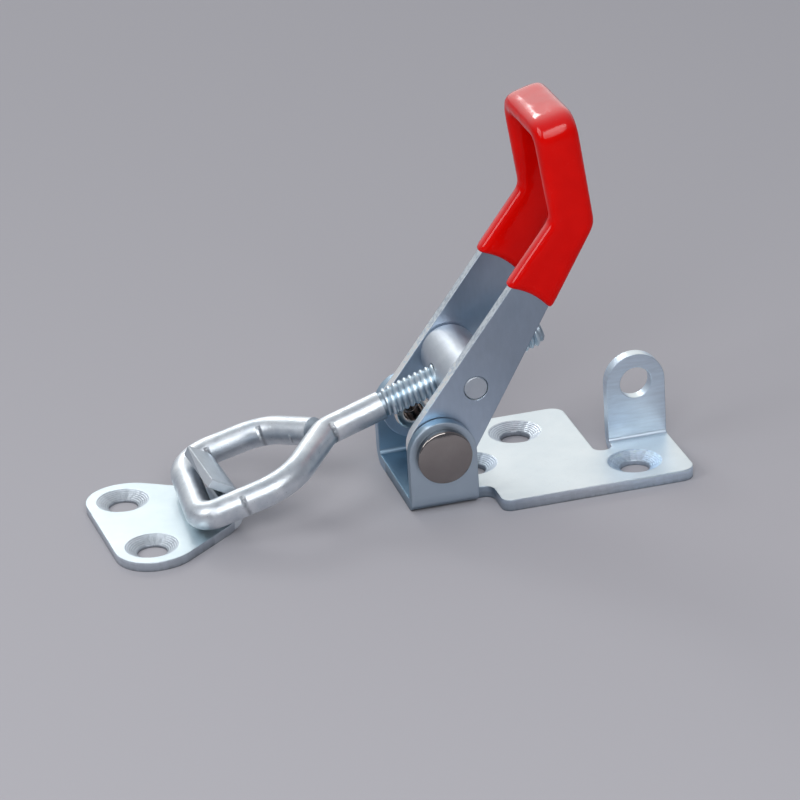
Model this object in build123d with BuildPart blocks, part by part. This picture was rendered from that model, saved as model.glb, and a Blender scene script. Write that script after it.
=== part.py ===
from build123d import *
import os
from math import cos, radians, sin, tan

os.makedirs("parts", exist_ok=True)

# An over centre toggle latch with a threaded drawbar, a folded handle with a dipped
# plastic grip, a base with a padlock lug, and the catch plate that the drawbar hooks on.
# Millimetres and degrees. +X runs from the catch plate to the padlock lug, +Y to the left
# of that, +Z up. Both plates lie on Z = 0 and the handle turns about an axis over the origin.

# Base plate: one folded sheet with two ears and a lug.
base_sheet = 2.5
base_bend = 1.0
pivot_height = 12.7
ear_radius = 7.2
plate_half_width = 20.5
plate_corner = 2.0
wide_corner = 3.0
neck_relief = 3.6
neck_corner = 2.2
neck_half_width = 11.8
wide_length = 25.1
lug_relief = 4.2
lug_relief_corner = 2.05
lug_relief_bottom = -4.5
lug_near_face = -1.04
lug_width = 13.0
lug_hole_height = 15.3
lug_hole_radius = 3.5
screw_radius = 3.2
screw_head_radius = 5.8
screw_head_angle = 120
front_screw_x = 9.5
wide_screw = (22.95, 11.9)
tail_screw = (42.24, -12.0)

# Handle: a strap folded into a U, turning between the ears on two rivets.
handle_sheet = 2.4
handle_width = 24.0
handle_gap = 0.3
handle_angle = 55.6
handle_end_half = 7.3
handle_end_offset = 1.1
handle_taper = 4.07
knee_distance = 55.0
knee_turn = 41.9
knee_corner = 3.5
upper_width = 7.0
bridge_height = 22.2
bridge_slope = 15.0
bridge_corner = 4.0

# Grip: a plastic skin that the handle is dipped in.
grip_skin = 0.65
grip_start = 37.7
grip_edge = 0.6

# Pivot rivets: a shallow dome outside the ear and a formed tube end inside the arm.
rivet_radius = 3.3
rivet_head_radius = 6.1
rivet_rim = 1.3
rivet_edge = 0.4
rivet_head_height = 2.5
rivet_lip_radius = 4.2
rivet_lip_height = 0.8
rivet_tube_radius = 2.15
rivet_tube_depth = 4.5
pin_clearance = 0.08
side_clearance = 0.1

# Trunnion: a barrel between the arms, tapped across for the drawbar.
trunnion_distance = 15.06
barrel_radius = 6.1
barrel_edge = 0.5
journal_radius = 2.55
journal_edge = 0.25

# Drawbar: a rod threaded at one end and bent into a loop at the other.
drawbar_slope = 18.0
rod_radius = 3.05
thread_root_radius = 2.6
thread_crest_radius = 3.2
thread_clearance = 0.1
thread_back = 18.8
thread_front = 18.4
thread_end_taper = 0.5
loop_gap = 0.15
loop_start = 31.5
near_branch_back = (43.2, -13.6)
near_branch_front = (62.7, -11.5)
far_branch_front = (61.3, 16.7)
far_branch_back = (42.4, 13.8)
loop_bends = (3.6, 12.4, 4.0, 6.2, 13.0)

# Catch plate: a tapered plate whose narrow end is folded up into a hook.
catch_sheet = 2.0
catch_position = (-62.82, 0.1)
catch_turn = 3.8
catch_half_width = 19.9
catch_back_corner = 8.0
catch_side_corner = 9.5
catch_side_length = 11.6
catch_taper = 36.4
catch_screw_spacing = 23.5
catch_screw_radius = 3.1
catch_screw_head_radius = 5.6
hook_width = 18.2
hook_centre = 19.5
hook_bend = 1.5
hook_knee_height = 8.7
hook_knee_bend = 3.5
hook_tip = (14.1, 11.95)

# Places that follow from the sizes above.
handle_half = handle_width / 2
arm_inner = handle_half - handle_sheet
ear_inner = handle_half + handle_gap
ear_outer = ear_inner + base_sheet
base_fold = base_bend + base_sheet / 2
wide_start = ear_radius + neck_relief
wide_end = wide_start + wide_length
ear_middle = ear_inner + base_sheet / 2
ear_top = pivot_height + ear_radius
lug_start = wide_end + lug_relief
lug_middle = lug_start + lug_width / 2
tail_end = lug_start + lug_width
lug_bend_start = lug_near_face - base_bend

# Side views look along +Y, with X to the right and Z up.
pivot_plane = Plane(origin=(0, 0, pivot_height), x_dir=(1, 0, 0), z_dir=(0, -1, 0))
reach = 4 * plate_half_width

with BuildPart() as base_plate:
    # The ears and the floor between them: a U section along X, then round tops.
    with BuildSketch(Plane.YZ.offset(-ear_radius)):
        with BuildLine():
            FilletPolyline(
                (-ear_middle, ear_top),
                (-ear_middle, base_sheet / 2),
                (ear_middle, base_sheet / 2),
                (ear_middle, ear_top),
                radius=base_fold,
            )
        trace(line_width=base_sheet)
    extrude(amount=2 * ear_radius)
    with BuildSketch(pivot_plane):
        Rectangle(reach, reach, align=(Align.CENTER, Align.MIN))
        Circle(ear_radius, mode=Mode.SUBTRACT)
    extrude(amount=reach, both=True, mode=Mode.SUBTRACT)

    # The flat plate behind the ears: a short neck, the wide part, then the tail. A relief is
    # cut beside the lug's fold.
    with BuildSketch():
        with BuildLine():
            FilletPolyline(
                (ear_radius, -neck_half_width),
                (wide_start, -neck_half_width),
                (wide_start, -plate_half_width),
                (tail_end, -plate_half_width),
                (tail_end, lug_bend_start),
                (lug_start, lug_bend_start),
                (lug_start, lug_relief_bottom),
                (wide_end, lug_relief_bottom),
                (wide_end, plate_half_width),
                (wide_start, plate_half_width),
                (wide_start, neck_half_width),
                (ear_radius, neck_half_width),
                radius=(
                    0,
                    neck_corner,
                    plate_corner,
                    wide_corner,
                    0,
                    0,
                    lug_relief_corner,
                    lug_relief_corner,
                    wide_corner,
                    plate_corner,
                    neck_corner,
                    0,
                ),
                close=True,
            )
        make_face()
    extrude(amount=base_sheet)

    # The lug: an L section along X, then a round top about the padlock hole.
    with BuildSketch(Plane.YZ.offset(lug_start)):
        with BuildLine():
            FilletPolyline(
                (lug_bend_start - base_sheet, base_sheet / 2),
                (lug_near_face + base_sheet / 2, base_sheet / 2),
                (lug_near_face + base_sheet / 2, lug_hole_height + lug_width),
                radius=base_fold,
            )
        trace(line_width=base_sheet)
    extrude(amount=lug_width)
    with BuildSketch(Plane(origin=(lug_middle, 0, lug_hole_height), x_dir=(1, 0, 0), z_dir=(0, -1, 0))):
        Rectangle(lug_width, reach, align=(Align.CENTER, Align.MIN))
        Circle(lug_width / 2, mode=Mode.SUBTRACT)
    extrude(amount=reach, both=True, mode=Mode.SUBTRACT)

    # Holes: the rivet bores, the padlock hole and three countersunk screw holes.
    with BuildSketch(pivot_plane):
        Circle(rivet_radius)
        with Locations((lug_middle, lug_hole_height - pivot_height)):
            Circle(lug_hole_radius)
    extrude(amount=reach, both=True, mode=Mode.SUBTRACT)
    with Locations([(x, y, base_sheet) for x, y in ((front_screw_x, 0), wide_screw, tail_screw)]):
        CounterSinkHole(
            radius=screw_radius,
            counter_sink_radius=screw_head_radius,
            counter_sink_angle=screw_head_angle,
        )
base_plate.part.label = "base_plate"
export_step(base_plate.part, "parts/base_plate.step")

# Rivets: each is turned about the pivot axis, drawn from the ear's outer face inwards.
lip_face = arm_inner - side_clearance
tube_end = lip_face - rivet_lip_height
head_top = ear_outer + rivet_head_height
for rivet_name, side in (("right_pivot_rivet", -1), ("left_pivot_rivet", 1)):
    with BuildPart() as pivot_rivet:
        with BuildSketch(Plane(origin=(0, 0, pivot_height), x_dir=(1, 0, 0), z_dir=(0, 0, side))):
            with BuildLine():
                Polyline(
                    (0, head_top),
                    (0, tube_end + rivet_tube_depth),
                    (rivet_tube_radius, tube_end + rivet_tube_depth),
                    (rivet_tube_radius, tube_end),
                    (rivet_lip_radius, tube_end),
                    (rivet_lip_radius, lip_face),
                    (rivet_radius, lip_face),
                    (rivet_radius, ear_outer),
                    (rivet_head_radius, ear_outer),
                    (rivet_head_radius, ear_outer + rivet_rim),
                )
                TangentArc((0, head_top), (rivet_head_radius, ear_outer + rivet_rim), tangent=(1, 0))
            make_face()
            rim_bottom = (rivet_head_radius, ear_outer)
            rim_top = (rivet_head_radius, ear_outer + rivet_rim)
            for edge_point in (rim_bottom, rim_top, (rivet_lip_radius, tube_end)):
                chamfer(vertices().sort_by_distance(edge_point)[0], length=rivet_edge)
        revolve(axis=Axis((0, 0, pivot_height), (0, 1, 0)))
    pivot_rivet.part.label = rivet_name
    export_step(pivot_rivet.part, f"parts/{rivet_name}.step")

# Handle: the arms' side view is drawn along the lower arm, starting at the pivot. The knee
# turns it up to the bridge, whose folds are drawn looking through the bent strap.
arm_plane = Plane(
    origin=(0, 0, pivot_height),
    x_dir=(cos(radians(handle_angle)), 0, sin(radians(handle_angle))),
    z_dir=(0, -1, 0),
)
knee_point = arm_plane.from_local_coords(Vector(knee_distance, 0, 0))
strap_plane = Plane(
    origin=knee_point,
    x_dir=(0, 1, 0),
    z_dir=(cos(radians(bridge_slope)), 0, sin(radians(bridge_slope))),
)


def side_outline(extra, start):
    """Side view of the arms, grown by extra, from a distance start along the lower arm."""
    slope = tan(radians(handle_taper))
    turn = radians(knee_turn)
    end_half = (handle_end_half + extra) / cos(radians(handle_taper))
    upper_half = upper_width / 2 + extra
    top = bridge_height + 2 * handle_sheet
    edges_of_side = []
    for side in (1, -1):
        knee_x = (knee_distance * sin(turn) + side * (end_half * cos(turn) - upper_half)) / (
            sin(turn) + side * slope * cos(turn)
        )
        knee_corner_point = (knee_x, side * (end_half - slope * knee_x))
        top_point = (
            knee_distance + top * cos(turn) - side * upper_half * sin(turn),
            top * sin(turn) + side * upper_half * cos(turn),
        )
        start_point = (start, side * (end_half - slope * start))
        edges_of_side.append((start_point, knee_corner_point, top_point))
    left_edge, right_edge = edges_of_side
    bends = (knee_corner - extra, 0, 0, knee_corner + extra)
    return (*left_edge, *reversed(right_edge)), bends


def strap_outline(half, top, corner):
    """Front view of the strap: straight sides, a flat top and rounded top corners."""
    low = -2 * knee_distance
    FilletPolyline((-half, low), (-half, top), (half, top), (half, low), radius=corner)
    Line((-half, low), (half, low))


# The lower end is rounded about a centre a little way up the arm, where the taper's sides
# touch the circle.
end_radius = handle_end_half - handle_end_offset * sin(radians(handle_taper))
tangent_start = handle_end_offset + end_radius * sin(radians(handle_taper))

with BuildPart() as handle:
    outline, bends = side_outline(0, tangent_start)
    with BuildSketch(arm_plane):
        with BuildLine():
            FilletPolyline(*outline, radius=bends)
            Line(outline[-1], outline[0])
        make_face()
        with Locations((handle_end_offset, 0)):
            Circle(end_radius)
    extrude(amount=handle_half, both=True)
    # The strap's outside and inside, looking through its folds.
    with BuildSketch(strap_plane):
        with BuildLine():
            strap_outline(handle_half, bridge_height, bridge_corner)
        make_face()
    extrude(amount=reach, both=True, mode=Mode.INTERSECT)
    with BuildSketch(strap_plane):
        with BuildLine():
            strap_outline(arm_inner, bridge_height - handle_sheet, bridge_corner - handle_sheet)
        make_face()
    extrude(amount=reach, both=True, mode=Mode.SUBTRACT)
    # Holes for the rivets and the trunnion's journals.
    with BuildSketch(arm_plane):
        Circle(rivet_radius + pin_clearance)
        with Locations((trunnion_distance, 0)):
            Circle(journal_radius + pin_clearance)
    extrude(amount=reach, both=True, mode=Mode.SUBTRACT)
handle.part.label = "handle"
export_step(handle.part, "parts/handle.step")

with BuildPart() as grip_sleeve:
    # The dipped end of the handle, grown by the skin on every side, less the handle itself.
    outline, bends = side_outline(grip_skin, grip_start)
    with BuildSketch(arm_plane):
        with BuildLine():
            FilletPolyline(*outline, radius=bends)
            Line(outline[-1], outline[0])
        make_face()
    extrude(amount=handle_half + grip_skin, both=True)
    with BuildSketch(strap_plane):
        with BuildLine():
            strap_outline(handle_half + grip_skin, bridge_height + grip_skin, bridge_corner + grip_skin)
        make_face()
    extrude(amount=reach, both=True, mode=Mode.INTERSECT)
    with BuildSketch(strap_plane):
        with BuildLine():
            strap_outline(
                arm_inner - grip_skin,
                bridge_height - handle_sheet - grip_skin,
                bridge_corner - handle_sheet - grip_skin,
            )
        make_face()
    extrude(amount=reach, both=True, mode=Mode.SUBTRACT)
    # Every long edge is broken. The lines across the strap where its bends begin are smooth, and
    # of the edges along Y only the bridge's, up above the middle of the strap, are sharp.
    rims = grip_sleeve.faces().filter_by(Axis(knee_point, arm_plane.x_dir))
    strap_middle = strap_plane.from_local_coords(Vector(0, bridge_height / 2, 0))
    smooth = grip_sleeve.edges().filter_by(Axis.Y).filter_by(lambda edge: edge.center().Z < strap_middle.Z)
    smooth += grip_sleeve.edges().filter_by(Axis(knee_point, strap_plane.z_dir))
    chamfer(grip_sleeve.edges() - rims.edges() - smooth, length=grip_edge)
    add(handle.part, mode=Mode.SUBTRACT)
grip_sleeve.part.label = "grip_sleeve"
export_step(grip_sleeve.part, "parts/grip_sleeve.step")

# Trunnion: a barrel with a journal at each end, tapped across for the drawbar.
trunnion_point = arm_plane.from_local_coords(Vector(trunnion_distance, 0, 0))
drawbar_plane = Plane(
    origin=trunnion_point,
    x_dir=(-cos(radians(drawbar_slope)), 0, -sin(radians(drawbar_slope))),
    z_dir=(sin(radians(drawbar_slope)), 0, -cos(radians(drawbar_slope))),
)
barrel_half = arm_inner - side_clearance
with BuildPart() as trunnion:
    with BuildSketch(Plane(origin=trunnion_point, x_dir=(1, 0, 0), z_dir=(0, 0, 1))):
        with BuildLine():
            Polyline(
                (0, -handle_half),
                (journal_radius - journal_edge, -handle_half),
                (journal_radius, journal_edge - handle_half),
                (journal_radius, -barrel_half),
                (barrel_radius - barrel_edge, -barrel_half),
                (barrel_radius, barrel_edge - barrel_half),
                (barrel_radius, barrel_half - barrel_edge),
                (barrel_radius - barrel_edge, barrel_half),
                (journal_radius, barrel_half),
                (journal_radius, handle_half - journal_edge),
                (journal_radius - journal_edge, handle_half),
                (0, handle_half),
                close=True,
            )
        make_face()
    revolve(axis=Axis(trunnion_point, (0, 1, 0)))
    with BuildSketch(Plane(origin=trunnion_point, x_dir=(0, 1, 0), z_dir=drawbar_plane.x_dir)):
        Circle(thread_crest_radius + thread_clearance)
    extrude(amount=2 * barrel_radius, both=True, mode=Mode.SUBTRACT)
trunnion.part.label = "trunnion"
export_step(trunnion.part, "parts/trunnion.step")

# Drawbar: the far branch of the loop stops just short of the near one.
near_step = Vector(*near_branch_back) - Vector(loop_start, 0)
near_direction = near_step.normalized()
far_step = Vector(loop_start, 0) - Vector(*far_branch_back)
far_direction = far_step.normalized()
across = Vector(-near_direction.Y, near_direction.X)
far_gap = (Vector(*far_branch_back) - Vector(loop_start, 0)).dot(across)
far_length = (far_gap - rod_radius - loop_gap) / -far_direction.dot(across)
far_end = Vector(*far_branch_back) + far_direction * far_length
loop_points = (
    (thread_front, 0),
    (loop_start, 0),
    near_branch_back,
    near_branch_front,
    far_branch_front,
    far_branch_back,
    (far_end.X, far_end.Y),
)
with BuildPart() as drawbar:
    with BuildLine(drawbar_plane) as loop_path:
        FilletPolyline(*loop_points, radius=loop_bends)
    with BuildSketch(Plane(origin=loop_path.line @ 0, x_dir=(0, 1, 0), z_dir=loop_path.line % 0)):
        Circle(rod_radius)
    sweep(path=loop_path.line)
    with BuildSketch(Plane(origin=loop_path.line @ 0, x_dir=(0, 1, 0), z_dir=-drawbar_plane.x_dir)):
        Circle(thread_root_radius)
    extrude(amount=thread_back + thread_front)
    thread_end = drawbar.faces().sort_by(Axis(trunnion_point, -drawbar_plane.x_dir))[-1]
    chamfer(thread_end.edges(), length=thread_end_taper)
drawbar.part.label = "drawbar"
export_step(drawbar.part, "parts/drawbar.step")

# Catch plate: a strip folded up into a hook, cut to its outline in plan.
catch_plane = Plane(
    origin=(*catch_position, 0),
    x_dir=(cos(radians(catch_turn)), sin(radians(catch_turn)), 0),
    z_dir=(0, 0, 1),
)
hook_section = Plane(origin=catch_plane.origin, x_dir=catch_plane.x_dir, z_dir=-catch_plane.y_dir)
hook_half = hook_width / 2
hook_inside = hook_centre - catch_sheet / 2
hook_end = hook_centre + catch_sheet
catch_side_end = hook_inside - (catch_half_width - hook_half) / tan(radians(catch_taper))
catch_back = catch_side_length - catch_side_end
with BuildPart() as catch_outline:
    # What the plate may fill: its tapered outline as high as the fold, and the hook's width above.
    with BuildSketch(catch_plane):
        with BuildLine():
            FilletPolyline(
                (hook_end, hook_half),
                (hook_inside, hook_half),
                (catch_side_end, catch_half_width),
                (-catch_back, catch_half_width),
                (-catch_back, -catch_half_width),
                (catch_side_end, -catch_half_width),
                (hook_inside, -hook_half),
                (hook_end, -hook_half),
                radius=(
                    0,
                    0,
                    catch_side_corner,
                    catch_back_corner,
                    catch_back_corner,
                    catch_side_corner,
                    0,
                    0,
                ),
                close=True,
            )
        make_face()
    extrude(amount=catch_sheet + hook_bend)
    with BuildSketch(catch_plane.offset(catch_sheet + hook_bend)):
        Rectangle(2 * hook_end, hook_width)
    extrude(amount=reach)
with BuildPart() as catch_plate:
    with BuildSketch(hook_section):
        with BuildLine():
            FilletPolyline(
                (-reach, catch_sheet / 2),
                (hook_centre, catch_sheet / 2),
                (hook_centre, hook_knee_height),
                hook_tip,
                radius=(hook_bend + catch_sheet / 2, hook_knee_bend),
            )
        trace(line_width=catch_sheet)
    extrude(amount=reach, both=True)
    add(catch_outline.part, mode=Mode.INTERSECT)
    with Locations(catch_plane.offset(catch_sheet)):
        with Locations((0, -catch_screw_spacing / 2), (0, catch_screw_spacing / 2)):
            CounterSinkHole(
                radius=catch_screw_radius,
                counter_sink_radius=catch_screw_head_radius,
                counter_sink_angle=screw_head_angle,
            )
catch_plate.part.label = "catch_plate"
export_step(catch_plate.part, "parts/catch_plate.step")
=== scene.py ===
import bmesh
import bpy
from math import cos, pi, radians, sin, tan
from mathutils import Matrix, Vector


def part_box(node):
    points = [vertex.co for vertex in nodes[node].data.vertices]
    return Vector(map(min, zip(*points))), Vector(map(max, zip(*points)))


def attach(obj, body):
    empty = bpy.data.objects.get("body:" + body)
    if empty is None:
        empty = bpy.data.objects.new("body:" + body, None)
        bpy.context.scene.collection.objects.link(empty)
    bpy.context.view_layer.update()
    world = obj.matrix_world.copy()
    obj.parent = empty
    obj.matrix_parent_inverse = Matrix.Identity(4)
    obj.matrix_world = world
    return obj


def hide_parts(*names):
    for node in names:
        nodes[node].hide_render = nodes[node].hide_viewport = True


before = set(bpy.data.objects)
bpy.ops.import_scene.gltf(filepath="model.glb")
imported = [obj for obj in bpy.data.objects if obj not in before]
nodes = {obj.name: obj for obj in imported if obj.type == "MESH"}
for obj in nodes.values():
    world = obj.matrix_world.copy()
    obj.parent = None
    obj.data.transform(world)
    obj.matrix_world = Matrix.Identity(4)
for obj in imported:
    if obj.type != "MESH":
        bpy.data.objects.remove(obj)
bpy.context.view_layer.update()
mm = 0.001  # every length below is in millimetres until it meets this

# where the moving pieces are at rest
pivotPoint = Vector((0, 0, 12.7)) * mm
armAngle = radians(55.6)
alongArm = Vector((cos(armAngle), 0, sin(armAngle)))
acrossArm = Vector((-sin(armAngle), 0, cos(armAngle)))
trunnionPoint = pivotPoint + alongArm * 15.06 * mm
slope = radians(18)
shankAxis = Vector((-cos(slope), 0, -sin(slope)))  # towards the hook


def newMaterial(name):
    material = bpy.data.materials.new(name)
    material.use_nodes = True
    tree = material.node_tree
    return material, tree, tree.nodes["Principled BSDF"]


def addNode(tree, kind, links=(), **values):
    # links: pairs of an input's name or number and the socket that feeds it
    node = tree.nodes.new(kind)
    for key, value in values.items():
        if key.startswith("in_"):
            node.inputs[key[3:]].default_value = value
        else:
            setattr(node, key, value)
    for slot, socket in links:
        tree.links.new(socket, node.inputs[slot])
    return node


def fill(tree, node, slots):
    # slots: pairs of an input and either a socket to link or a plain value; None is left alone
    for slot, value in slots:
        if value is None:
            continue
        if isinstance(value, bpy.types.NodeSocket):
            tree.links.new(value, node.inputs[slot])
        elif isinstance(value, tuple) and len(value) == 3 and node.inputs[slot].type == "RGBA":
            node.inputs[slot].default_value = (*value, 1)
        else:
            node.inputs[slot].default_value = value


def mathNode(tree, operation, first, second=None, clamp=False):
    node = addNode(tree, "ShaderNodeMath", operation=operation, use_clamp=clamp)
    fill(tree, node, ((0, first), (1, second)))
    return node.outputs[0]


def vectorNode(tree, operation, first, second=None):
    node = addNode(tree, "ShaderNodeVectorMath", operation=operation)
    fill(tree, node, ((0, first), (1, second)))
    return node.outputs["Value" if operation in ("DOT_PRODUCT", "LENGTH") else "Vector"]


def product(tree, *values):
    # all the values multiplied together
    total = values[0]
    for value in values[1:]:
        total = mathNode(tree, "MULTIPLY", total, value)
    return total


def colourRamp(tree, factor, stops):
    ramp = addNode(tree, "ShaderNodeValToRGB", [("Fac", factor)])
    elements = ramp.color_ramp.elements
    while len(elements) < len(stops):
        elements.new(0.5)
    for element, (place, colour) in zip(elements, stops):
        element.position = place
        element.color = (*colour, 1)
    return ramp.outputs["Color"]


def mixColours(tree, factor, first, second, blend="MIX"):
    node = addNode(tree, "ShaderNodeMix", data_type="RGBA", blend_type=blend)
    fill(tree, node, ((0, factor), (6, first), (7, second)))
    return node.outputs[2]


def between(tree, value, low, high, start=0.3, end=0.7):
    # a value from start to end becomes one from low to high
    node = addNode(tree, "ShaderNodeMapRange", [("Value", value)])
    fill(tree, node, (("From Min", start), ("From Max", end), ("To Min", low), ("To Max", high)))
    return node.outputs["Result"]


def objectPlace(tree):
    place = addNode(tree, "ShaderNodeTexCoord").outputs["Object"]
    return vectorNode(tree, "MULTIPLY", place, (1000.0, 1000.0, 1000.0))


def parts(tree, vector):
    # the X, Y and Z sockets of a vector socket
    return addNode(tree, "ShaderNodeSeparateXYZ", [("Vector", vector)]).outputs


def objectNormal(tree):
    return parts(tree, addNode(tree, "ShaderNodeTexCoord").outputs["Normal"])


def noise(tree, place, scale, detail=3.0, roughness=0.55):
    # scale may be one number or one for each axis, for a grain
    if isinstance(scale, tuple):
        place, scale = vectorNode(tree, "MULTIPLY", place, scale), 1.0
    return addNode(tree, "ShaderNodeTexNoise", [("Vector", place)],
                   in_Scale=scale, in_Detail=detail, in_Roughness=roughness).outputs["Fac"]


def shapeNormal(tree, shader, layers, edge=0.0):
    # layers: pairs of a height in millimetres and its strength; edge rounds the sharp corners
    normal = None
    if edge:
        normal = addNode(tree, "ShaderNodeBevel", samples=6, in_Radius=edge * mm).outputs["Normal"]
    for height, strength in layers:
        bump = addNode(tree, "ShaderNodeBump", [("Height", height)],
                       in_Strength=strength, in_Distance=mm)
        if normal:
            tree.links.new(normal, bump.inputs["Normal"])
        normal = bump.outputs["Normal"]
    tree.links.new(normal, shader.inputs["Normal"])


zinc = {
    "speckScale": 2.6,
    "speckStart": 0.64,
    "speckFull": 0.74,
    "hazeScale": 2.3,  # against the clouds' scale
}


def startZinc(name, look):
    # plated steel: cloudy colour, cloudy gloss, specks, fine pits and a faint grain
    material, tree, shader = newMaterial(name)
    place = objectPlace(tree)
    clouds = noise(tree, place, look["cloudScale"], 4.0)
    colour = colourRamp(tree, clouds, [(0.30, look["dark"]), (0.70, look["light"])])
    specks = noise(tree, place, zinc["speckScale"], 2.0)
    specks = between(tree, specks, 0.0, look["specks"], zinc["speckStart"], zinc["speckFull"])
    colour = mixColours(tree, specks, colour, look["speckColour"])
    shader.inputs["Metallic"].default_value = 1.0
    haze = noise(tree, place, look["cloudScale"] * zinc["hazeScale"], 5.0, 0.6)
    tree.links.new(between(tree, haze, *look["gloss"]), shader.inputs["Roughness"])
    layers = [(noise(tree, place, look["grain"], 2.0), look["grainDepth"]),
              (noise(tree, place, look["pitScale"], 3.0, 0.6), look["pitDepth"])]
    return material, tree, shader, place, colour, layers


def finishZinc(tree, shader, colour, layers, edge=0.0):
    tree.links.new(colour, shader.inputs["Base Color"])
    shapeNormal(tree, shader, layers, edge)


def dress(nodeName, material):
    piece = nodes[nodeName]
    piece.data.materials.clear()
    piece.data.materials.append(material)


coneMarks = {
    "rays": 17.0,
    "unevenScale": 0.55,
    "uneven": 9.0,  # radians
    "fadeScale": 0.4,
    "ringTurns": 15.0,  # radians for each millimetre
    "ringShare": 0.5,
}


def screwCones(tree, place, centres, innerRadius, outerRadius):
    # turned marks in the countersinks: rays and rings, nothing outside them
    total = None
    for x, y in centres:
        offset = vectorNode(tree, "SUBTRACT", place, (x, y, 0.0))
        flat = vectorNode(tree, "MULTIPLY", offset, (1.0, 1.0, 0.0))
        radius = vectorNode(tree, "LENGTH", flat)
        inside = mathNode(tree, "LESS_THAN", radius, outerRadius)
        outside = mathNode(tree, "GREATER_THAN", radius, innerRadius)
        across = parts(tree, flat)
        angle = mathNode(tree, "ARCTAN2", across["Y"], across["X"])
        uneven = product(tree, noise(tree, place, coneMarks["unevenScale"], 2.0), coneMarks["uneven"])
        rays = mathNode(tree, "ADD", product(tree, angle, coneMarks["rays"]), uneven)
        fading = noise(tree, place, coneMarks["fadeScale"], 1.0)
        rays = product(tree, mathNode(tree, "SINE", rays), fading)
        rings = mathNode(tree, "SINE", product(tree, radius, coneMarks["ringTurns"]))
        rings = product(tree, rings, coneMarks["ringShare"])
        marks = product(tree, mathNode(tree, "ADD", rays, rings), inside, outside)
        total = marks if total is None else mathNode(tree, "ADD", total, marks)
    return total


# folded sheet: white flats, and darker folded side faces in painted shade that differs along the piece
plateLook = {
    "dark": (0.76, 0.84, 0.88),
    "light": (0.84, 0.91, 0.94),
    "speckColour": (0.66, 0.58, 0.58),
    "specks": 0.22,
    "cloudScale": 0.10,
    "gloss": (0.34, 0.46),
    "grain": (0.25, 3.0, 3.0),
    "grainDepth": 0.008,
    "pitScale": 3.0,
    "pitDepth": 0.03,
    "edge": 0.34,
    "coneMarks": 0.20,
    "flatFrom": (0.88, 0.98),
    "bands": (0.93, 1.05),
    "sheet": 2.5,
    "ragged": 0.2,
    "sheared": [(0.0, (0.55, 0.55, 0.55)), (0.20, (0.80, 0.80, 0.80)), (0.50, (0.92, 0.92, 0.92)),
                (0.70, (1.08, 1.08, 1.08)), (0.92, (1.20, 1.20, 1.20)), (1.0, (1.0, 1.0, 1.0))],
}
# stops run from a piece's low X end to its high one
baseLook = dict(
    plateLook,
    screws=((9.5, 0.0), (22.95, 11.9), (42.24, -12.0)),
    cone=(3.2, 5.8),
    flats=[(0.20, (0.30, 0.42, 0.52)), (0.27, (1, 1, 1))],
    # painted shade for the faces that don't face up, darkest at the low X end between the ears
    sides=[(0.0, (0.26, 0.36, 0.45)), (0.22, (0.36, 0.45, 0.54)), (0.42, (0.58, 0.64, 0.71)),
           (0.66, (0.70, 0.76, 0.82)), (0.78, (0.68, 0.79, 0.90))],
    earsEnd=8.0,
    earFade=0.5,
    # painted light on the ears' faces that face the front
    nearEarFrom=-14.0,
    nearEar=(0.52, 0.62, 0.71),
    farEarFrom=8.0,
    farEar=(0.38, 0.51, 0.63),
)
catchLook = dict(
    plateLook,
    screws=((-62.04, -11.63), (-63.60, 11.82)),
    cone=(3.1, 5.6),
    flats=[(0.0, (0.88, 0.92, 0.94)), (0.70, (0.90, 0.94, 0.95)), (0.86, (0.75, 0.80, 0.83))],
    sides=[(0.0, (0.68, 0.74, 0.80)), (1.0, (0.48, 0.54, 0.60))],
    hookFrom=-49.0,
    # painted shade inside the hook, and painted light on its tip and ends
    throatShade=(0.05, 0.08, 0.11),
    throatFacing=(-0.97, -0.90),
    lipLight=(0.80, 0.85, 0.89),
    lipFacing=(-0.80, -0.60),
    endFacing=(0.7, 0.9),
)


def paintedEarLight(tree, where, colour, look):
    # painted light: the near ear's outer face and the far ear's inner one face the front, so they are
    # painted paler than the shaded side faces
    edge, end, fade = look["nearEarFrom"], look["earsEnd"], look["earFade"]
    outer = product(tree, between(tree, where["Y"], 1.0, 0.0, edge - fade, edge),
                    mathNode(tree, "LESS_THAN", where["X"], end))
    colour = mixColours(tree, outer, colour, look["nearEar"])
    inner = product(tree, mathNode(tree, "GREATER_THAN", where["Y"], look["farEarFrom"]),
                    between(tree, where["X"], 1.0, 0.0, end - fade, end + fade))
    return mixColours(tree, inner, colour, look["farEar"])


def paintedHookLight(tree, where, colour, look):
    # painted light and shade: the face of the hook's tip and the hook's ends are painted bright, and the
    # hook's inside is painted dark as shade
    normal = objectNormal(tree)
    onHook = mathNode(tree, "GREATER_THAN", where["X"], look["hookFrom"])
    lipLight = product(tree, onHook, between(tree, normal["X"], 1.0, 0.0, *look["lipFacing"]))
    ends = between(tree, mathNode(tree, "ABSOLUTE", normal["Y"]), 0.0, 1.0, *look["endFacing"])
    lipLight = mathNode(tree, "MAXIMUM", lipLight, product(tree, onHook, ends))
    throatShade = product(tree, onHook, between(tree, normal["X"], 1.0, 0.0, *look["throatFacing"]))
    colour = mixColours(tree, lipLight, colour, look["lipLight"])
    return mixColours(tree, throatShade, colour, look["throatShade"])


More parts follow.
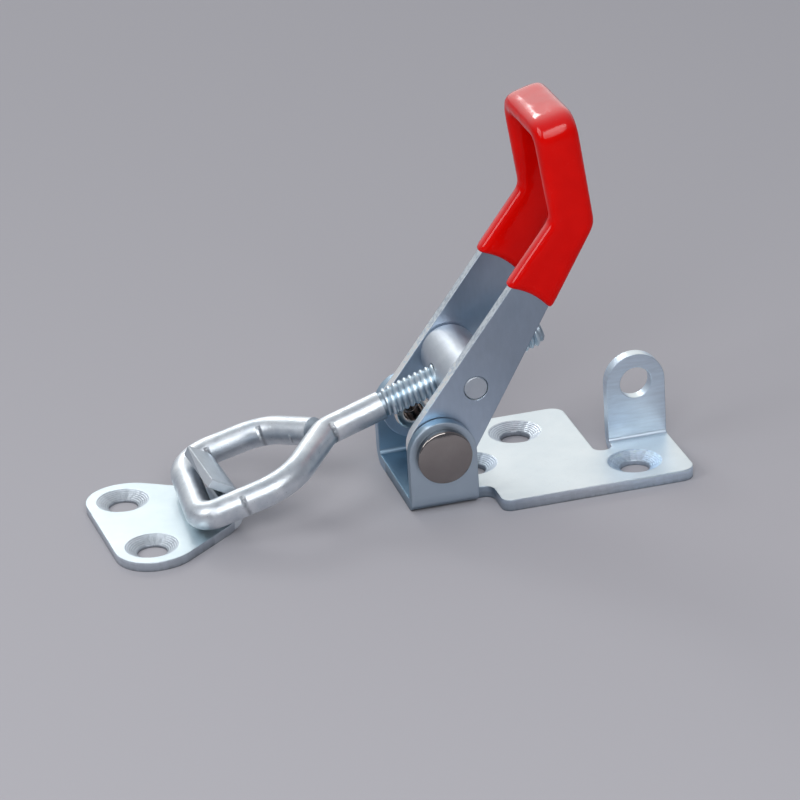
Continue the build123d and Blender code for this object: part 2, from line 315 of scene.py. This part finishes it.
plates = (("base_plate", baseLook, paintedEarLight), ("catch_plate", catchLook, paintedHookLight))
for nodeName, look, paintedSideLight in plates:
    material, tree, shader, place, colour, layers = startZinc(nodeName + "Zinc", look)
    low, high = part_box(nodeName)
    where = parts(tree, place)
    along = between(tree, where["X"], 0.0, 1.0, low[0] / mm, high[0] / mm)
    # painted shade: faces that don't face up get a darker colour along the piece, mixed below with the
    # sheared edges' real dullness
    sideShadeAndFinish = colourRamp(tree, along, look["sides"])
    flatness = between(tree, objectNormal(tree)["Z"], 0.0, 1.0, *look["flatFrom"])
    bands = between(tree, noise(tree, place, (0.25, 0.25, 1.6), 2.0), *look["bands"])
    sideShadeAndFinish = mixColours(tree, 1.0, sideShadeAndFinish, bands, "MULTIPLY")
    # a sheared edge is duller towards its foot, unevenly
    uneven = between(tree, noise(tree, place, (0.9, 0.9, 0.3), 3.0), -look["ragged"], look["ragged"])
    height = between(tree, mathNode(tree, "ADD", where["Z"], uneven), 0.0, 1.0, 0.0, look["sheet"])
    sideShadeAndFinish = mixColours(tree, 1.0, sideShadeAndFinish, colourRamp(tree, height, look["sheared"]), "MULTIPLY")
    sideShadeAndFinish = paintedSideLight(tree, where, sideShadeAndFinish, look)
    colour = mixColours(tree, 1.0, colour, colourRamp(tree, along, look["flats"]), "MULTIPLY")
    # flats keep their colour; faces that don't face up take the painted shade
    colour = mixColours(tree, flatness, sideShadeAndFinish, colour)
    layers.append((screwCones(tree, place, look["screws"], *look["cone"]), look["coneMarks"]))
    finishZinc(tree, shader, colour, layers, look["edge"])
    dress(nodeName, material)

# the handle's strap: satin, with a pale painted highlight on the narrow edges, mottled
armLook = {
    "dark": (0.34, 0.41, 0.50),
    "light": (0.40, 0.47, 0.56),
    "speckColour": (0.62, 0.68, 0.74),
    "specks": 0.12,
    "cloudScale": 0.07,
    "gloss": (0.30, 0.40),
    "grain": (2.4, 2.4, 0.5),
    "grainDepth": 0.02,
    "pitScale": 3.4,
    "pitDepth": 0.05,
    "edge": 0.3,
    "edgeHighlight": (0.82, 0.88, 0.93),
    "edgeHighlightShare": (0.35, 1.0),
    "streaks": (0.97, 1.03),
    "lowArmReflection": [(0.0, (1.62, 1.62, 1.60)), (1.0, (1.0, 1.0, 1.0))],
    "lowReach": (2.0, 24.0),
}
material, tree, shader, place, colour, layers = startZinc("strapZinc", armLook)
sideways = mathNode(tree, "ABSOLUTE", objectNormal(tree)["Y"])
# painted highlight: the narrow edges are painted pale where they catch the light
edgeHighlightClouds = between(tree, noise(tree, place, 0.9, 4.0, 0.65), *armLook["edgeHighlightShare"], 0.35, 0.6)
edgeHighlightShare = product(tree, between(tree, sideways, 1.0, 0.0, 0.2, 0.8), edgeHighlightClouds)
colour = mixColours(tree, edgeHighlightShare, colour, armLook["edgeHighlight"])
streaks = between(tree, noise(tree, place, (1.3, 1.3, 0.35), 3.0), *armLook["streaks"])
colour = mixColours(tree, 1.0, colour, streaks, "MULTIPLY")
# painted reflection: the arm is painted lighter towards the pivot, where it reflects the pale plate and
# ears
fromPivot = vectorNode(tree, "SUBTRACT", place, tuple(pivotPoint / mm))
upArm = vectorNode(tree, "DOT_PRODUCT", fromPivot, tuple(alongArm))
upArm = between(tree, upArm, 0.0, 1.0, *armLook["lowReach"])
colour = mixColours(tree, 1.0, colour, colourRamp(tree, upArm, armLook["lowArmReflection"]), "MULTIPLY")
finishZinc(tree, shader, colour, layers, armLook["edge"])
dress("handle", material)

# the drawbar: drawn rod, pitted and nicked at its bends, with painted shade in the nicks and in the
# thread's grooves
rodLook = {
    "dark": (0.60, 0.66, 0.72),
    "light": (0.86, 0.90, 0.93),
    "speckColour": (0.20, 0.22, 0.25),
    "specks": 0.35,
    "cloudScale": 0.22,
    "gloss": (0.32, 0.48),
    "grain": (0.5, 2.6, 2.6),
    "grainDepth": 0.04,
    "pitScale": 3.2,
    "pitDepth": 0.07,
    # each nick: how far ahead of the trunnion, how far aside, and the rod's turn there
    "nicks": ((53.4, -15.4, 6), (43.5, 10.4, 12), (55.3, 12.0, 8), (29.7, -3.0, -12), (36.4, 5.6, 45)),
    "nickReach": 2.7,
    "nickCore": 0.05,
    "nickWidth": 0.62,
    "nickDepth": 0.55,
    "nickShade": 0.5,
    "chatter": (-0.4, -1.0),
    "grooveRadius": 2.62,
    "grooveFade": 0.38,
    "grooveShade": (0.40, 0.48, 0.55),
    "grooveEnd": 18.5,
}
threadLook = dict(
    rodLook,
    dark=(0.56, 0.69, 0.78),
    light=(0.80, 0.90, 0.96),
    specks=0.1,
    pitDepth=0.02,
    grainDepth=0.01,
    gloss=(0.32, 0.42),
)


def paintedGrooveShade(tree, place, colour, look):
    # painted shade: the root between the thread's ridges is painted dark
    # how far each point lies from the shank's axis
    offset = vectorNode(tree, "SUBTRACT", place, tuple(trunnionPoint / mm))
    radius = vectorNode(tree, "LENGTH", vectorNode(tree, "CROSS_PRODUCT", offset, tuple(shankAxis)))
    low = look["grooveRadius"]
    share = between(tree, radius, 0.0, 1.0, low, low + look["grooveFade"])
    ahead = vectorNode(tree, "DOT_PRODUCT", offset, tuple(shankAxis))
    beyond = mathNode(tree, "GREATER_THAN", ahead, look["grooveEnd"])
    return mixColours(tree, mathNode(tree, "MAXIMUM", share, beyond), look["grooveShade"], colour)


material, tree, shader, place, colour, layers = startZinc("rodZinc", rodLook)
colour = paintedGrooveShade(tree, place, colour, rodLook)
nicks = None
for ahead, aside, turned in rodLook["nicks"]:
    centre = (trunnionPoint + shankAxis * ahead * mm) / mm + Vector((0, aside, 0))
    along = shankAxis * cos(radians(turned)) + Vector((0, sin(radians(turned)), 0))
    offset = vectorNode(tree, "SUBTRACT", place, tuple(centre))
    near = mathNode(tree, "LESS_THAN", vectorNode(tree, "LENGTH", offset), rodLook["nickReach"])
    apart = mathNode(tree, "ABSOLUTE", vectorNode(tree, "DOT_PRODUCT", offset, tuple(along)))
    nick = product(tree, near, between(tree, apart, 1.0, 0.0, rodLook["nickCore"], rodLook["nickWidth"]))
    nicks = nick if nicks is None else mathNode(tree, "MAXIMUM", nicks, nick)
chatter = between(tree, noise(tree, place, 1.6, 2.0), *rodLook["chatter"])
layers.append((product(tree, nicks, chatter), rodLook["nickDepth"]))
# painted shade in the nicks' creases
colour = mixColours(tree, product(tree, nicks, rodLook["nickShade"]), colour, rodLook["speckColour"])
finishZinc(tree, shader, colour, layers)
dress("drawbar", material)

threadMaterial, tree, shader, place, colour, layers = startZinc("threadZinc", threadLook)
finishZinc(tree, shader, paintedGrooveShade(tree, place, colour, threadLook), layers)

# the trunnion: turned bar with fine rings
barrelLook = dict(
    plateLook,
    dark=(0.50, 0.55, 0.61),
    light=(0.66, 0.71, 0.76),
    gloss=(0.42, 0.52),
    specks=0.05,
    grain=(0.05, 9.0, 0.05),
    grainDepth=0.04,
    edge=0.2,
)
material, tree, shader, place, colour, layers = startZinc("barrelZinc", barrelLook)
finishZinc(tree, shader, colour, layers, barrelLook["edge"])
dress("trunnion", material)
print("finishes done")


def curvedProfile(corners, steps=5):
    # corners: (radius from the axis, distance along it, rounding); returns a profile's points
    points = []
    for number, (across, along, rounding) in enumerate(corners):
        here = Vector((across, along))
        if not rounding:
            points.append(here)
            continue
        back = (Vector(corners[number - 1][:2]) - here).normalized()
        forth = (Vector(corners[number + 1][:2]) - here).normalized()
        half = back.angle(forth) / 2
        reach = rounding / tan(half)
        centre = here + (back + forth).normalized() * rounding / sin(half)
        first, last = here + back * reach - centre, here + forth * reach - centre
        for step in range(steps + 1):
            points.append(centre + first.slerp(last, step / steps) * rounding)
    return points


def turnedPiece(name, points, start, axis, steps, material):
    # spins a profile about an axis; both lie in the object's frame
    shape = bmesh.new()
    side = axis.orthogonal().normalized()
    line = [shape.verts.new(start + (side * point.x + axis * point.y) * mm) for point in points]
    edges = [shape.edges.new(pair) for pair in zip(line, line[1:])]
    bmesh.ops.spin(shape, geom=line + edges, cent=start, axis=axis, angle=2 * pi,
                   steps=steps, use_merge=True)
    bmesh.ops.remove_doubles(shape, verts=shape.verts, dist=0.0005 * mm)
    bmesh.ops.recalc_face_normals(shape, faces=shape.faces)
    mesh = bpy.data.meshes.new(name)
    shape.to_mesh(mesh)
    shape.free()
    mesh.polygons.foreach_set("use_smooth", [True] * len(mesh.polygons))
    mesh.materials.append(material)
    piece = bpy.data.objects.new(name, mesh)
    bpy.context.scene.collection.objects.link(piece)
    return piece


# rivets: a polished dome with a soft rim outside the ear, a formed tube end inside the arm
rivet = {
    "earOuter": 14.8,
    "headRadius": 5.85,
    "rim": 1.75,
    "rimEdge": 0.45,
    "seatEdge": 0.25,
    "headHeight": 2.5,
    "shankRadius": 3.3,
    "lipFace": 9.5,
    "lipRadius": 4.2,
    "lipHeight": 0.8,
    "lipEdges": (0.1, 0.68),
    "tubeRadius": 2.15,
    "tubeDepth": 4.5,
    "tubeEdges": (0.25, 0.2),
    "domeSteps": 14,
    "domeShare": 0.91,  # of the head's radius, to leave room for the rim's rounding
    # the dark brown colour is partly the metal's and partly a painted reflection of a dark brown
    # surrounding
    "look": dict(
        plateLook,
        dark=(0.27, 0.245, 0.235),
        light=(0.36, 0.33, 0.315),
        gloss=(0.07, 0.11),
        speckColour=(0.10, 0.09, 0.09),
        specks=0.10,
        grainDepth=0.0,
        pitDepth=0.006,
    ),
    "turnSteps": 96,
    "rimWallShade": (0.10, 0.105, 0.115),
    "wallFacing": (0.10, 0.35),
    "formedEnd": (0.80, 0.75, 0.70),
}
material, tree, shader, place, colour, layers = startZinc("rivetPolish", rivet["look"])
# painted shade: the head's side is painted dark, for the shadow and dark reflection at the rim; the
# formed end is bright
facing = mathNode(tree, "ABSOLUTE", objectNormal(tree)["Y"])
outward = mathNode(tree, "ABSOLUTE", parts(tree, place)["Y"])
rimWallShade = product(tree, between(tree, facing, 1.0, 0.0, *rivet["wallFacing"]),
               mathNode(tree, "GREATER_THAN", outward, rivet["earOuter"]))
colour = mixColours(tree, rimWallShade, colour, rivet["rimWallShade"])
formedEnd = mathNode(tree, "LESS_THAN", outward, rivet["lipFace"])
colour = mixColours(tree, formedEnd, colour, rivet["formedEnd"])
finishZinc(tree, shader, colour, layers)
rise = rivet["headHeight"] - rivet["rim"]
domeRadius = (rivet["headRadius"] ** 2 + rise ** 2) / (2 * rise)
headTop = rivet["earOuter"] + rivet["headHeight"]
dome = []
for step in range(rivet["domeSteps"] + 1):
    across = rivet["headRadius"] * rivet["domeShare"] * step / rivet["domeSteps"]
    dome.append((across, headTop - domeRadius + (domeRadius ** 2 - across ** 2) ** 0.5, 0))
tubeEnd = rivet["lipFace"] - rivet["lipHeight"]
rimTop = rivet["earOuter"] + rivet["rim"]
corners = dome + [
    (rivet["headRadius"], rimTop, rivet["rimEdge"]),
    (rivet["headRadius"], rivet["earOuter"], rivet["seatEdge"]),
    (rivet["shankRadius"], rivet["earOuter"], 0),
    (rivet["shankRadius"], rivet["lipFace"], 0),
    (rivet["lipRadius"], rivet["lipFace"], rivet["lipEdges"][0]),
    (rivet["lipRadius"], tubeEnd, rivet["lipEdges"][1]),
    (rivet["tubeRadius"], tubeEnd, rivet["tubeEdges"][0]),
    (rivet["tubeRadius"], tubeEnd + rivet["tubeDepth"], rivet["tubeEdges"][1]),
    (0, tubeEnd + rivet["tubeDepth"], 0),
]
profile = curvedProfile(corners)
for nodeName, side in (("right_pivot_rivet", -1), ("left_pivot_rivet", 1)):
    name = "rightRivet" if side < 0 else "leftRivet"
    piece = turnedPiece(name, profile, pivotPoint, Vector((0, side, 0)), rivet["turnSteps"], material)
    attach(piece, "base")
    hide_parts(nodeName)
print("rivets done:", len(profile), "points each")

# the grip: the dipped skin, with thick soft corners and a lower edge that thins out
grip = {
    "deep": (0.74, 0.0020, 0.0008),
    "bright": (0.82, 0.0032, 0.0012),
    "gloss": (0.09, 0.16),
    "shine": (0.12, 0.85),
    "coat": (0.0, 0.8),
    "coatGloss": 0.14,
    "lowerEdge": 37.7,
    "halfWidth": 5.29,
    "arch": 1.0,
    "archReach": 6.0,
    "dust": 0.12,
    "dustColour": (0.9, 0.5, 0.5),
    "waviness": 0.30,
    "peel": 0.015,
    "voxel": 0.3,
    "smoothing": 64,
    "swell": 0.38,
    "crown": (60.0, 72.0),
    "crownPasses": 60,
    "crownSwell": 0.26,
}
material, tree, shader = newMaterial("gripVinyl")
place = objectPlace(tree)
clouds = noise(tree, place, 0.12, 2.0)
colour = colourRamp(tree, clouds, [(0.35, grip["deep"]), (0.65, grip["bright"])])
dust = between(tree, noise(tree, place, 4.5, 1.0), 0.0, grip["dust"], 0.74, 0.80)
colour = mixColours(tree, dust, colour, grip["dustColour"])
upwards = objectNormal(tree)["Z"]
fill(tree, shader, (
    ("Base Color", colour),
    ("Specular IOR Level", between(tree, upwards, *grip["shine"], 0.3, 0.9)),
    ("Roughness", between(tree, noise(tree, place, 0.3, 4.0), *grip["gloss"])),
    ("Coat Weight", between(tree, upwards, *grip["coat"], 0.3, 0.9)),
    ("Coat Roughness", grip["coatGloss"]),
))
waves = (noise(tree, place, 0.16, 1.0), grip["waviness"])
peel = (noise(tree, place, 1.1, 2.0), grip["peel"])
shapeNormal(tree, shader, [waves, peel])


def meltedSkin(look):
    # the skin and the strap inside it as one lump, so its corners can be softened
    lump = bpy.data.meshes.new("gripSkin")
    shape = bmesh.new()
    for nodeName in ("grip_sleeve", "handle"):
        part = bmesh.new()
        part.from_mesh(nodes[nodeName].data)
        bmesh.ops.remove_doubles(part, verts=part.verts, dist=0.001 * mm)
        if nodeName == "handle":
            everything = part.verts[:] + part.edges[:] + part.faces[:]
            edge = pivotPoint + alongArm * look["lowerEdge"] * mm
            cut = bmesh.ops.bisect_plane(part, geom=everything, plane_co=edge, plane_no=alongArm,
                                         clear_inner=True)
            rim = [item for item in cut["geom_cut"] if isinstance(item, bmesh.types.BMEdge)]
            bmesh.ops.edgeloop_fill(part, edges=rim)
        part.to_mesh(lump)
        part.free()
        shape.from_mesh(lump)
    shape.to_mesh(lump)
    shape.free()
    piece = bpy.data.objects.new("gripSkin", lump)
    bpy.context.scene.collection.objects.link(piece)
    remesh = piece.modifiers.new("melt", "REMESH")
    remesh.mode = "VOXEL"
    remesh.voxel_size = look["voxel"] * mm
    soften = piece.modifiers.new("soften", "SMOOTH")
    soften.factor = 0.5
    soften.iterations = look["smoothing"]
    swell = piece.modifiers.new("swell", "DISPLACE")
    swell.mid_level = 0
    swell.strength = look["swell"] * mm
    bpy.context.view_layer.update()
    done = piece.evaluated_get(bpy.context.evaluated_depsgraph_get())
    mesh = bpy.data.meshes.new_from_object(done)
    piece.modifiers.clear()
    piece.data = mesh
    bpy.data.meshes.remove(lump)
    for vertex in mesh.vertices:
        offset = (vertex.co - pivotPoint) / mm
        up, across = offset.dot(alongArm), offset.dot(acrossArm)
        share = min(max(1 - (up - look["lowerEdge"]) / look["archReach"], 0), 1) ** 2
        bow = 0.5 - min(across / look["halfWidth"], 1) ** 2
        vertex.co += alongArm * share * look["arch"] * bow * mm
    # the bridge is softer still
    shape = bmesh.new()
    shape.from_mesh(mesh)
    low, high = look["crown"]
    for number in range(look["crownPasses"]):
        level = (low + (high - low) * number / look["crownPasses"]) * mm
        above = [vertex for vertex in shape.verts if vertex.co.z > level]
        bmesh.ops.smooth_vert(shape, verts=above, factor=0.5,
                              use_axis_x=True, use_axis_y=True, use_axis_z=True)
    shape.normal_update()
    for vertex in shape.verts:
        share = min(max((vertex.co.z / mm - low) / (high - low), 0), 1)
        vertex.co += vertex.normal * share * look["crownSwell"] * mm
    shape.to_mesh(mesh)
    shape.free()
    mesh.polygons.foreach_set("use_smooth", [True] * len(mesh.polygons))
    return piece


skin = meltedSkin(grip)
skin.data.materials.clear()
skin.data.materials.append(material)
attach(skin, "handle")
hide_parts("grip_sleeve")
print("grip done:", len(skin.data.polygons), "faces")

# the rolled thread's sizes
thread = {
    "rootRadius": 2.6,
    "crestRadius": 3.16,
    "pitch": 1.27,
    "back": 18.3,
    "front": 18.1,
    "stepsPerTurn": 64,
    "runOutEnd": 0.03,
    "sharpAngle": 25,
}


def nodeInputs(tree, values):
    # one named input for each size; returns the sockets' identifiers
    keys = {}
    for name, value in values.items():
        socket = tree.interface.new_socket(name, in_out="INPUT", socket_type="NodeSocketFloat")
        socket.default_value = value
        keys[name] = socket.identifier
    finish = tree.interface.new_socket("Finish", in_out="INPUT", socket_type="NodeSocketMaterial")
    keys["Finish"] = finish.identifier
    tree.interface.new_socket("Geometry", in_out="OUTPUT", socket_type="NodeSocketGeometry")
    return keys


def threadTree(values):
    # a ridge swept along a helix about +Z that runs out into the root at both ends
    tree = bpy.data.node_groups.new("rolledThread", "GeometryNodeTree")
    keys = nodeInputs(tree, values)
    size = addNode(tree, "NodeGroupInput").outputs
    result = addNode(tree, "NodeGroupOutput")
    turns = mathNode(tree, "DIVIDE", size["Length"], size["Pitch"])
    helix = addNode(tree, "GeometryNodeCurveSpiral", [
        ("Rotations", turns), ("Start Radius", size["Root radius"]),
        ("End Radius", size["Root radius"]), ("Height", size["Length"])])
    helix.inputs["Resolution"].default_value = thread["stepsPerTurn"]
    upright = addNode(tree, "GeometryNodeSetCurveNormal", [("Curve", helix.outputs["Curve"])],
                      mode="Z_UP")
    share = addNode(tree, "GeometryNodeSplineParameter").outputs["Factor"]
    along = mathNode(tree, "MULTIPLY", share, turns)
    left = mathNode(tree, "SUBTRACT", turns, along)
    runOut = mathNode(tree, "MINIMUM", mathNode(tree, "MINIMUM", along, left), 1.0)
    runOut = mathNode(tree, "MAXIMUM", runOut, thread["runOutEnd"])
    # the ridge's section: a V with a narrow flat crest, and its foot sunk in the root;
    # each point is in half pitches across and depths up
    section = [(-0.90, -0.4), (0.90, -0.4), (0.99, 0.2), (0.22, 1.0), (-0.22, 1.0), (-0.99, 0.2)]
    points = addNode(tree, "GeometryNodeCurvePrimitiveCircle", mode="RADIUS")
    points.inputs["Resolution"].default_value = len(section)
    points.inputs["Radius"].default_value = 1.0
    index = addNode(tree, "GeometryNodeInputIndex").outputs["Index"]
    half = mathNode(tree, "MULTIPLY", size["Pitch"], 0.5)
    # the section's X points inwards, so the depth is negative
    depth = mathNode(tree, "SUBTRACT", size["Root radius"], size["Crest radius"])
    across = height = None
    for number, (side, rise) in enumerate(section):
        here = mathNode(tree, "COMPARE", index, float(number))
        partAcross, partHeight = product(tree, here, side), product(tree, here, rise)
        across = partAcross if across is None else mathNode(tree, "ADD", across, partAcross)
        height = partHeight if height is None else mathNode(tree, "ADD", height, partHeight)
    corner = addNode(tree, "ShaderNodeCombineXYZ", [
        ("X", product(tree, height, depth)), ("Y", product(tree, across, half))])
    ridge = addNode(tree, "GeometryNodeSetPosition", [
        ("Geometry", points.outputs["Curve"]), ("Position", corner.outputs["Vector"])])
    swept = addNode(tree, "GeometryNodeCurveToMesh", [
        ("Curve", upright.outputs["Curve"]), ("Profile Curve", ridge.outputs["Geometry"]),
        ("Scale", runOut)])
    swept.inputs["Fill Caps"].default_value = True
    real = addNode(tree, "GeometryNodeRealizeInstances", [("Geometry", swept.outputs["Mesh"])])
    coated = addNode(tree, "GeometryNodeSetMaterial", [
        ("Geometry", real.outputs["Geometry"]), ("Material", size["Finish"])])
    tree.links.new(coated.outputs["Geometry"], result.inputs["Geometry"])
    return tree, keys


def grow(name, tree, keys, values, finish, place):
    # runs a node tree on an empty mesh and keeps the result as a plain mesh, moved to its place
    carrier = bpy.data.objects.new(name + "Carrier", bpy.data.meshes.new(name + "Carrier"))
    bpy.context.scene.collection.objects.link(carrier)
    modifier = carrier.modifiers.new("grow", "NODES")
    modifier.node_group = tree
    for key, value in values.items():
        modifier[keys[key]] = value
    modifier[keys["Finish"]] = finish
    bpy.context.view_layer.update()
    grown = carrier.evaluated_get(bpy.context.evaluated_depsgraph_get())
    mesh = bpy.data.meshes.new_from_object(grown)
    carrier.modifiers.remove(modifier)
    bpy.data.objects.remove(carrier)
    mesh.transform(place)
    mesh.polygons.foreach_set("use_smooth", [True] * len(mesh.polygons))
    mesh.set_sharp_from_angle(angle=radians(thread["sharpAngle"]))
    piece = bpy.data.objects.new(name, mesh)
    bpy.context.scene.collection.objects.link(piece)
    return piece


threadValues = {
    "Length": (thread["back"] + thread["front"]) * mm,
    "Pitch": thread["pitch"] * mm,
    "Root radius": thread["rootRadius"] * mm,
    "Crest radius": thread["crestRadius"] * mm,
}
helixTree, helixKeys = threadTree(threadValues)
threadStart = trunnionPoint - shankAxis * thread["back"] * mm
turnToShank = shankAxis.to_track_quat("Z", "Y").to_matrix().to_4x4()
ridge = grow("rolledThread", helixTree, helixKeys, threadValues, threadMaterial,
             Matrix.Translation(threadStart) @ turnToShank)
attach(ridge, "drawbar")
print("thread done:", len(ridge.data.polygons), "faces")

# the view: a long lens, rolled a little
view = {
    "place": (-161.687, -650.452, 318.337),
    "turn": 13.552,
    "down": 24.043,
    "roll": 3.834,
    "lens": 157.3,
    "sensor": 36,
}
turn, down, roll = (radians(view[key]) for key in ("turn", "down", "roll"))
ahead = Vector((sin(turn) * cos(down), cos(turn) * cos(down), -sin(down)))
level = Vector((cos(turn), -sin(turn), 0))
upward = level.cross(ahead)
right = level * cos(roll) - upward * sin(roll)
top = level * sin(roll) + upward * cos(roll)
camera = bpy.data.objects.new("camera", bpy.data.cameras.new("camera"))
camera.data.lens = view["lens"]
camera.data.sensor_width = view["sensor"]
camera.data.clip_start = 0.01
camera.data.clip_end = 20
aim = Matrix((right, top, -ahead)).transposed().to_4x4()
camera.matrix_world = Matrix.Translation(Vector(view["place"]) * mm) @ aim
bpy.context.scene.collection.objects.link(camera)
bpy.context.scene.camera = camera

# the studio: a pale floor, a world that is bright behind and dim in front, and soft boxes
studio = {
    "floorColour": (0.47, 0.46, 0.49),
    "floorRoughness": 0.9,
    "floorReach": 3.0,  # metres
    "floorDrop": 0.05,
    "air": [(0.30, (0.18, 0.19, 0.22)), (0.65, (0.26, 0.28, 0.32)),
            (0.86, (0.55, 0.57, 0.60)), (0.96, (1.0, 1.0, 1.0))],
    "airStrength": 0.90,
    "bright": (0.15, 0.85, 0.50),
    "target": (0, 0, 0.03),
    # each lamp: its name, place and size in metres, and power in watts
    "boxes": (
        ("leftSoftBox", (-0.60, -0.10, 0.45), (0.35, 0.35), 1.2),
        ("backSoftBox", (-0.12, 0.85, 0.61), (0.26, 0.20), 1.0),
        ("frontSoftBox", (-0.15, -0.85, 0.70), (0.90, 0.60), 6.0),
    ),
}
reach = studio["floorReach"]
corners = [(-reach, -reach, 0), (reach, -reach, 0), (reach, reach, 0), (-reach, reach, 0)]
floorMesh = bpy.data.meshes.new("studioFloor")
floorMesh.from_pydata(corners, [], [(0, 1, 2, 3)])
floor = bpy.data.objects.new("studioFloor", floorMesh)
floor.location.z = -studio["floorDrop"] * mm
bpy.context.scene.collection.objects.link(floor)
material, tree, shader = newMaterial("studioFloorPaint")
shader.inputs["Base Color"].default_value = (*studio["floorColour"], 1)
shader.inputs["Roughness"].default_value = studio["floorRoughness"]
floorMesh.materials.append(material)

world = bpy.data.worlds.new("studioAir")
bpy.context.scene.world = world
world.use_nodes = True
tree = world.node_tree
background = tree.nodes["Background"]
direction = addNode(tree, "ShaderNodeTexCoord").outputs["Generated"]
towards = vectorNode(tree, "DOT_PRODUCT", direction, tuple(Vector(studio["bright"]).normalized()))
share = mathNode(tree, "ADD", mathNode(tree, "MULTIPLY", towards, 0.5), 0.5)
tree.links.new(colourRamp(tree, share, studio["air"]), background.inputs["Color"])
background.inputs["Strength"].default_value = studio["airStrength"]

for name, place, size, power in studio["boxes"]:
    lamp = bpy.data.lights.new(name, "AREA")
    lamp.shape = "RECTANGLE"
    lamp.size, lamp.size_y = size
    lamp.energy = power
    box = bpy.data.objects.new(name, lamp)
    box.location = place
    box.rotation_euler = (Vector(studio["target"]) - Vector(place)).to_track_quat("-Z", "Y").to_euler()
    bpy.context.scene.collection.objects.link(box)
bpy.context.scene.view_settings.view_transform = "Standard"
print("studio done")
